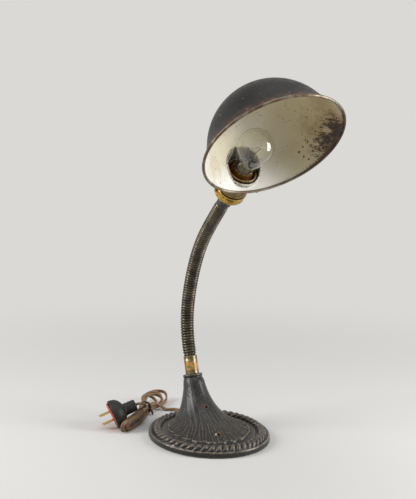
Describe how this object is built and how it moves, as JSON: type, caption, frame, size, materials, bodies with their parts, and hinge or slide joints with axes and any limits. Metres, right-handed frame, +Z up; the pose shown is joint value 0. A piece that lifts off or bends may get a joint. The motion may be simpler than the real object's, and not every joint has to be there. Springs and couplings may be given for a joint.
{
  "type": "gooseneck desk lamp",
  "caption": "Desk lamp with an oval cast foot and horn, a wound flexible neck, a side-mounted sheet dome shade on a turn-key socket, a clear bulb, and a tied hank of flex with its plug.",
  "frame": {"origin": "centre of the oval foot's footprint, on the plane the lamp stands on", "axes": "+Z up, +X towards the lamp's front, the way the neck bends over, +Y to the lamp's left"},
  "size_m": [0.3908, 0.2074, 0.4759],
  "materials": {
    "base_iron": "blackened, worn at the edges",
    "threaded_brass": "machined",
    "zinc_steel": "plain",
    "aged_nickel": "worn nickel plate over brass",
    "fibre": "vulcanised fibre",
    "cord_rubber": "brown twin flex",
    "wound_steel": "worn plated steel wire",
    "wire_insulation": "insulated",
    "dark_sleeve": "dark grey-blue, worn",
    "bronze_screw": "aged",
    "cap_brass": "bright rolled brass",
    "shell_brass": "dulled brass",
    "liner_card": "insulating card",
    "porcelain": "moulded, unglazed below",
    "copper": "bare stranded copper",
    "shaft_steel": "turned",
    "bakelite": "moulded, dark brown",
    "clear_glass": "clear",
    "base_glass": "black glass insulator",
    "solder": "dull solder",
    "nickel_wire": "fine wire",
    "shade_enamel": "dark outside, cream-white enamel inside, rusted edge",
    "worn_rim": "rolled edge, paint worn off",
    "collar_steel": "grey sheet",
    "tie_rubber": "black",
    "plug_rubber": "black, moulded",
    "plug_fibre": "red-brown fibre",
    "prong_brass": "folded strip"
  },
  "bodies": {
    "base": {"base_casting": "base_iron", "horn_nipple": "threaded_brass", "nipple_locknut": "zinc_steel", "lower_coupling": "aged_nickel", "cord_bushing": "fibre", "base_cord": "cord_rubber", "neck_link_01": "wound_steel", "neck_wire_01": "wire_insulation", "cord_lead": "cord_rubber", "cord_hank": "cord_rubber", "cord_tie": "tie_rubber", "cord_tail": "cord_rubber", "plug_body": "plug_rubber", "plug_disc": "plug_fibre", "plug_prongs": "prong_brass"},
    "link_02": {"neck_link_02": "wound_steel", "neck_wire_02": "wire_insulation"},
    "link_03": {"neck_link_03": "wound_steel", "neck_wire_03": "wire_insulation"},
    "link_04": {"neck_link_04": "wound_steel", "neck_wire_04": "wire_insulation"},
    "link_05": {"neck_link_05": "wound_steel", "neck_wire_05": "wire_insulation"},
    "link_06": {"neck_link_06": "wound_steel", "neck_wire_06": "wire_insulation"},
    "link_07": {"neck_link_07": "wound_steel", "neck_wire_07": "wire_insulation"},
    "link_08": {"neck_link_08": "wound_steel", "neck_wire_08": "wire_insulation"},
    "link_09": {"neck_link_09": "wound_steel", "neck_wire_09": "wire_insulation"},
    "link_10": {"neck_link_10": "wound_steel", "neck_wire_10": "wire_insulation"},
    "socket": {"neck_link_11": "wound_steel", "neck_wire_11": "wire_insulation", "upper_ferrule": "dark_sleeve", "ferrule_screw": "bronze_screw", "socket_cap": "cap_brass", "cap_screw": "bronze_screw", "socket_shell": "shell_brass", "shell_liner": "liner_card", "socket_insulator": "porcelain", "terminal_screws": "threaded_brass", "socket_leads": "copper", "screw_shell": "shell_brass", "centre_contact": "shell_brass", "bulb_glass": "clear_glass", "bulb_base": "shell_brass", "bulb_insulator": "base_glass", "bulb_contact": "solder", "bulb_stem": "clear_glass", "bulb_leads": "nickel_wire", "bulb_filament": "nickel_wire"},
    "shade": {"shade_shell": "shade_enamel", "shade_bead": "worn_rim", "shade_collar": "collar_steel"},
    "key": {"switch_shaft": "shaft_steel", "switch_key": "bakelite"}
  },
  "joints": [
    {"name": "gooseneck_bend", "type": "hinge", "parent": "base", "child": "link_02", "pos_m": [-0.05988, 0, 0.11845], "axis": [0, 1, 0], "range_deg": [-11, 11]},
    {"name": "gooseneck_side", "type": "hinge", "parent": "link_02", "child": "link_03", "pos_m": [-0.06261, 0, 0.14068], "axis": [0.9995, 0, 0.0305], "range_deg": [-7, 7]},
    {"name": "gooseneck_bend_2", "type": "hinge", "parent": "link_03", "child": "link_04", "pos_m": [-0.06125, 0, 0.16304], "axis": [0, 1, 0], "range_deg": [-11, 11]},
    {"name": "gooseneck_side_2", "type": "hinge", "parent": "link_04", "child": "link_05", "pos_m": [-0.05659, 0, 0.18495], "axis": [0.967, 0, -0.2546], "range_deg": [-7, 7]},
    {"name": "gooseneck_bend_3", "type": "hinge", "parent": "link_05", "child": "link_06", "pos_m": [-0.04985, 0, 0.20631], "axis": [0, 1, 0], "range_deg": [-11, 11]},
    {"name": "gooseneck_side_3", "type": "hinge", "parent": "link_06", "child": "link_07", "pos_m": [-0.04128, 0, 0.227], "axis": [0.9063, 0, -0.4226], "range_deg": [-7, 7]},
    {"name": "gooseneck_bend_4", "type": "hinge", "parent": "link_07", "child": "link_08", "pos_m": [-0.03094, 0, 0.24687], "axis": [0, 1, 0], "range_deg": [-11, 11]},
    {"name": "gooseneck_side_4", "type": "hinge", "parent": "link_08", "child": "link_09", "pos_m": [-0.01809, 0, 0.26522], "axis": [0.7853, 0, -0.6191], "range_deg": [-7, 7]},
    {"name": "gooseneck_bend_5", "type": "hinge", "parent": "link_09", "child": "link_10", "pos_m": [-0.00325, 0, 0.28199], "axis": [0, 1, 0], "range_deg": [-11, 11]},
    {"name": "gooseneck_side_5", "type": "hinge", "parent": "link_10", "child": "socket", "pos_m": [0.01245, 0, 0.29797], "axis": [0.7139, 0, -0.7003], "range_deg": [-7, 7]},
    {"name": "shade_swivel", "type": "hinge", "parent": "socket", "child": "shade", "pos_m": [0.06415, 0, 0.35077], "axis": [0.6997, 0, 0.7145], "range_deg": [-170, 170]},
    {"name": "key_turn", "type": "hinge", "parent": "socket", "child": "key", "pos_m": [0.06005, 0.01785, 0.33729], "axis": [0.2444, 0.9397, -0.2393], "continuous": true}
  ]
}
